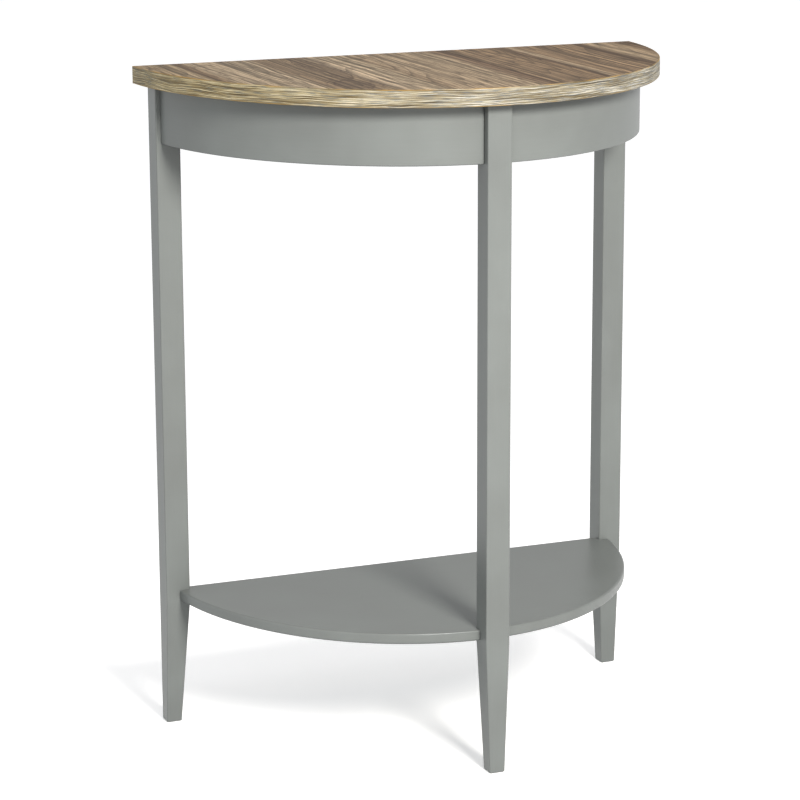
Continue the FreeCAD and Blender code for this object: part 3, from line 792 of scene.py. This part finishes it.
# open pores, 0.3 mm wide in the print, drawn at 1.3 mm so that they show
short = add(
    oak_face, "Mapping", {"Vector": swayed, "Scale": (1 / 0.0013, 1 / 0.030, 1.0)},
).outputs["Vector"]
pores = add(
    oak_face, "TexNoise", {"Vector": short, "Scale": 1.0, "Detail": 1.0},
).outputs["Fac"]
open_pore = add(
    oak_face, "MapRange",
    {"Value": pores, "From Min": 0.55, "From Max": 0.63, "To Max": 0.55},
).outputs["Result"]
printed = add(
    oak_face, "Mix", {0: open_pore, 6: figured, 7: linear("#584838")},
    data_type="RGBA", blend_type="MIX",
).outputs[2]
sunk = add(
    oak_face, "Math", {0: open_pore, 1: -0.8, 2: lines}, operation="MULTIPLY_ADD",
).outputs[0]
bump = add(
    oak_face, "Bump", {"Height": sunk, "Strength": 0.3, "Distance": 0.00015},
).outputs["Normal"]
face_skin = add(
    oak_face, "BsdfPrincipled",
    {"Base Color": printed, "Roughness": 0.7, "IOR": 1.5, "Normal": bump},
).outputs["BSDF"]
add(oak_face, "OutputMaterial", {"Surface": face_skin})
finish_node("top_face_sheet", oak_face)


# Studio: a plain floor of white acrylic lit from beneath, a soft lamp in front
# above the camera, a high light that only draws the highlights, and a white
# surround that is brightest at the horizon and a little stronger on the left.
FLOOR_SIZE = 60
FLOOR_GLOW = 0.30
LAMP_PLACE = (0.08, -2.40, 1.75)
LAMP_POWER = 285
LAMP_RADIUS = 0.35
EDGE_LIGHT_RISE = math.radians(55)
EDGE_LIGHT_SPREAD = math.radians(12)
EDGE_LIGHT_STRENGTH = 2.5
EDGE_LIGHT_DISTANCE = 4

# acrylic lit from beneath: plain white, on which only the soft shadow shows
floor_paint = blank("backlit_white_acrylic")
spot = add(floor_paint, "TexCoord").outputs["Object"]
scuff = add(
    floor_paint, "TexNoise", {"Vector": spot, "Scale": 1 / 0.4, "Detail": 2.0},
).outputs["Fac"]
colour = add(
    floor_paint, "ValToRGB", {"Fac": scuff}, stops=[(0.3, "#fafafa"), (0.7, "#fcfcfc")],
).outputs["Color"]
floor_skin = add(
    floor_paint, "BsdfPrincipled",
    {
        "Base Color": colour, "Roughness": 0.9,
        "Emission Color": colour, "Emission Strength": FLOOR_GLOW,
    },
).outputs["BSDF"]
add(floor_paint, "OutputMaterial", {"Surface": floor_skin})
bpy.ops.object.select_all(action="DESELECT")
bpy.ops.mesh.primitive_plane_add(size=FLOOR_SIZE)
floor = bpy.context.object
floor.name = floor.data.name = "studio_floor"
floor.data.materials.append(floor_paint)
# no light is thrown back up from the sheet, so the shadows under the top stay deep
floor.visible_diffuse = False

bpy.ops.object.light_add(type="POINT", location=LAMP_PLACE)
lamp = bpy.context.object
lamp.name = "soft_lamp"
lamp.data.energy = LAMP_POWER
lamp.data.shadow_soft_size = LAMP_RADIUS
lamp.data.color = linear("#fffbf6")[:3]
lamp.visible_camera = False
lamp.visible_glossy = False
source = Vector((0, -math.cos(EDGE_LIGHT_RISE), math.sin(EDGE_LIGHT_RISE)))
bpy.ops.object.light_add(type="SUN", location=source * EDGE_LIGHT_DISTANCE)
edge_light = bpy.context.object
edge_light.name = "edge_light"
edge_light.data.energy = EDGE_LIGHT_STRENGTH
edge_light.data.angle = EDGE_LIGHT_SPREAD
edge_light.rotation_euler = source.to_track_quat("Z", "Y").to_euler()
edge_light.visible_diffuse = False

surround = bpy.data.worlds.new("white_surround")
surround.use_nodes = True
surround.node_tree.nodes.clear()
way = add(surround, "TexCoord").outputs["Generated"]
sides = add(surround, "SeparateXYZ", {"Vector": way}).outputs
height = add(
    surround, "MapRange", {"Value": sides["Z"], "From Min": -1.0},
).outputs["Result"]
white = add(
    surround, "ValToRGB", {"Fac": height},
    stops=[(0.0, "#808080"), (0.5, "#dedfe0"), (1.0, "#a2a2a3")],
).outputs["Color"]
lean = add(
    surround, "MapRange",
    {"Value": sides["X"], "From Min": -1.0, "To Min": 1.35, "To Max": 0.90},
).outputs["Result"]
sky = add(surround, "Background", {"Color": white, "Strength": lean}).outputs["Background"]
add(surround, "OutputWorld", {"Surface": sky})
bpy.context.scene.world = surround
film = bpy.context.scene.view_settings
film.view_transform = "Standard"
film.exposure = 0.27
film.gamma = 0.82


# Camera: a long lens a little above the table's top and to the left of its front,
# placed by a fit to the table's edges in the photo.
CAMERA_PLACE = (-1.2083, -2.8634, 1.1387)
LENS = 128.45
SENSOR_WIDTH = 36
CAMERA_HEADING = math.radians(-21.934)
CAMERA_TILT = math.radians(90 - 13.518)
CAMERA_ROLL = math.radians(-0.217)
bpy.ops.object.camera_add(location=CAMERA_PLACE)
camera = bpy.context.object
camera.data.lens = LENS
camera.data.sensor_width = SENSOR_WIDTH
aim = (
    Matrix.Rotation(CAMERA_HEADING, 3, "Z")
    @ Matrix.Rotation(CAMERA_TILT, 3, "X")
    @ Matrix.Rotation(CAMERA_ROLL, 3, "Z")
)
camera.rotation_euler = aim.to_euler()
bpy.context.scene.camera = camera
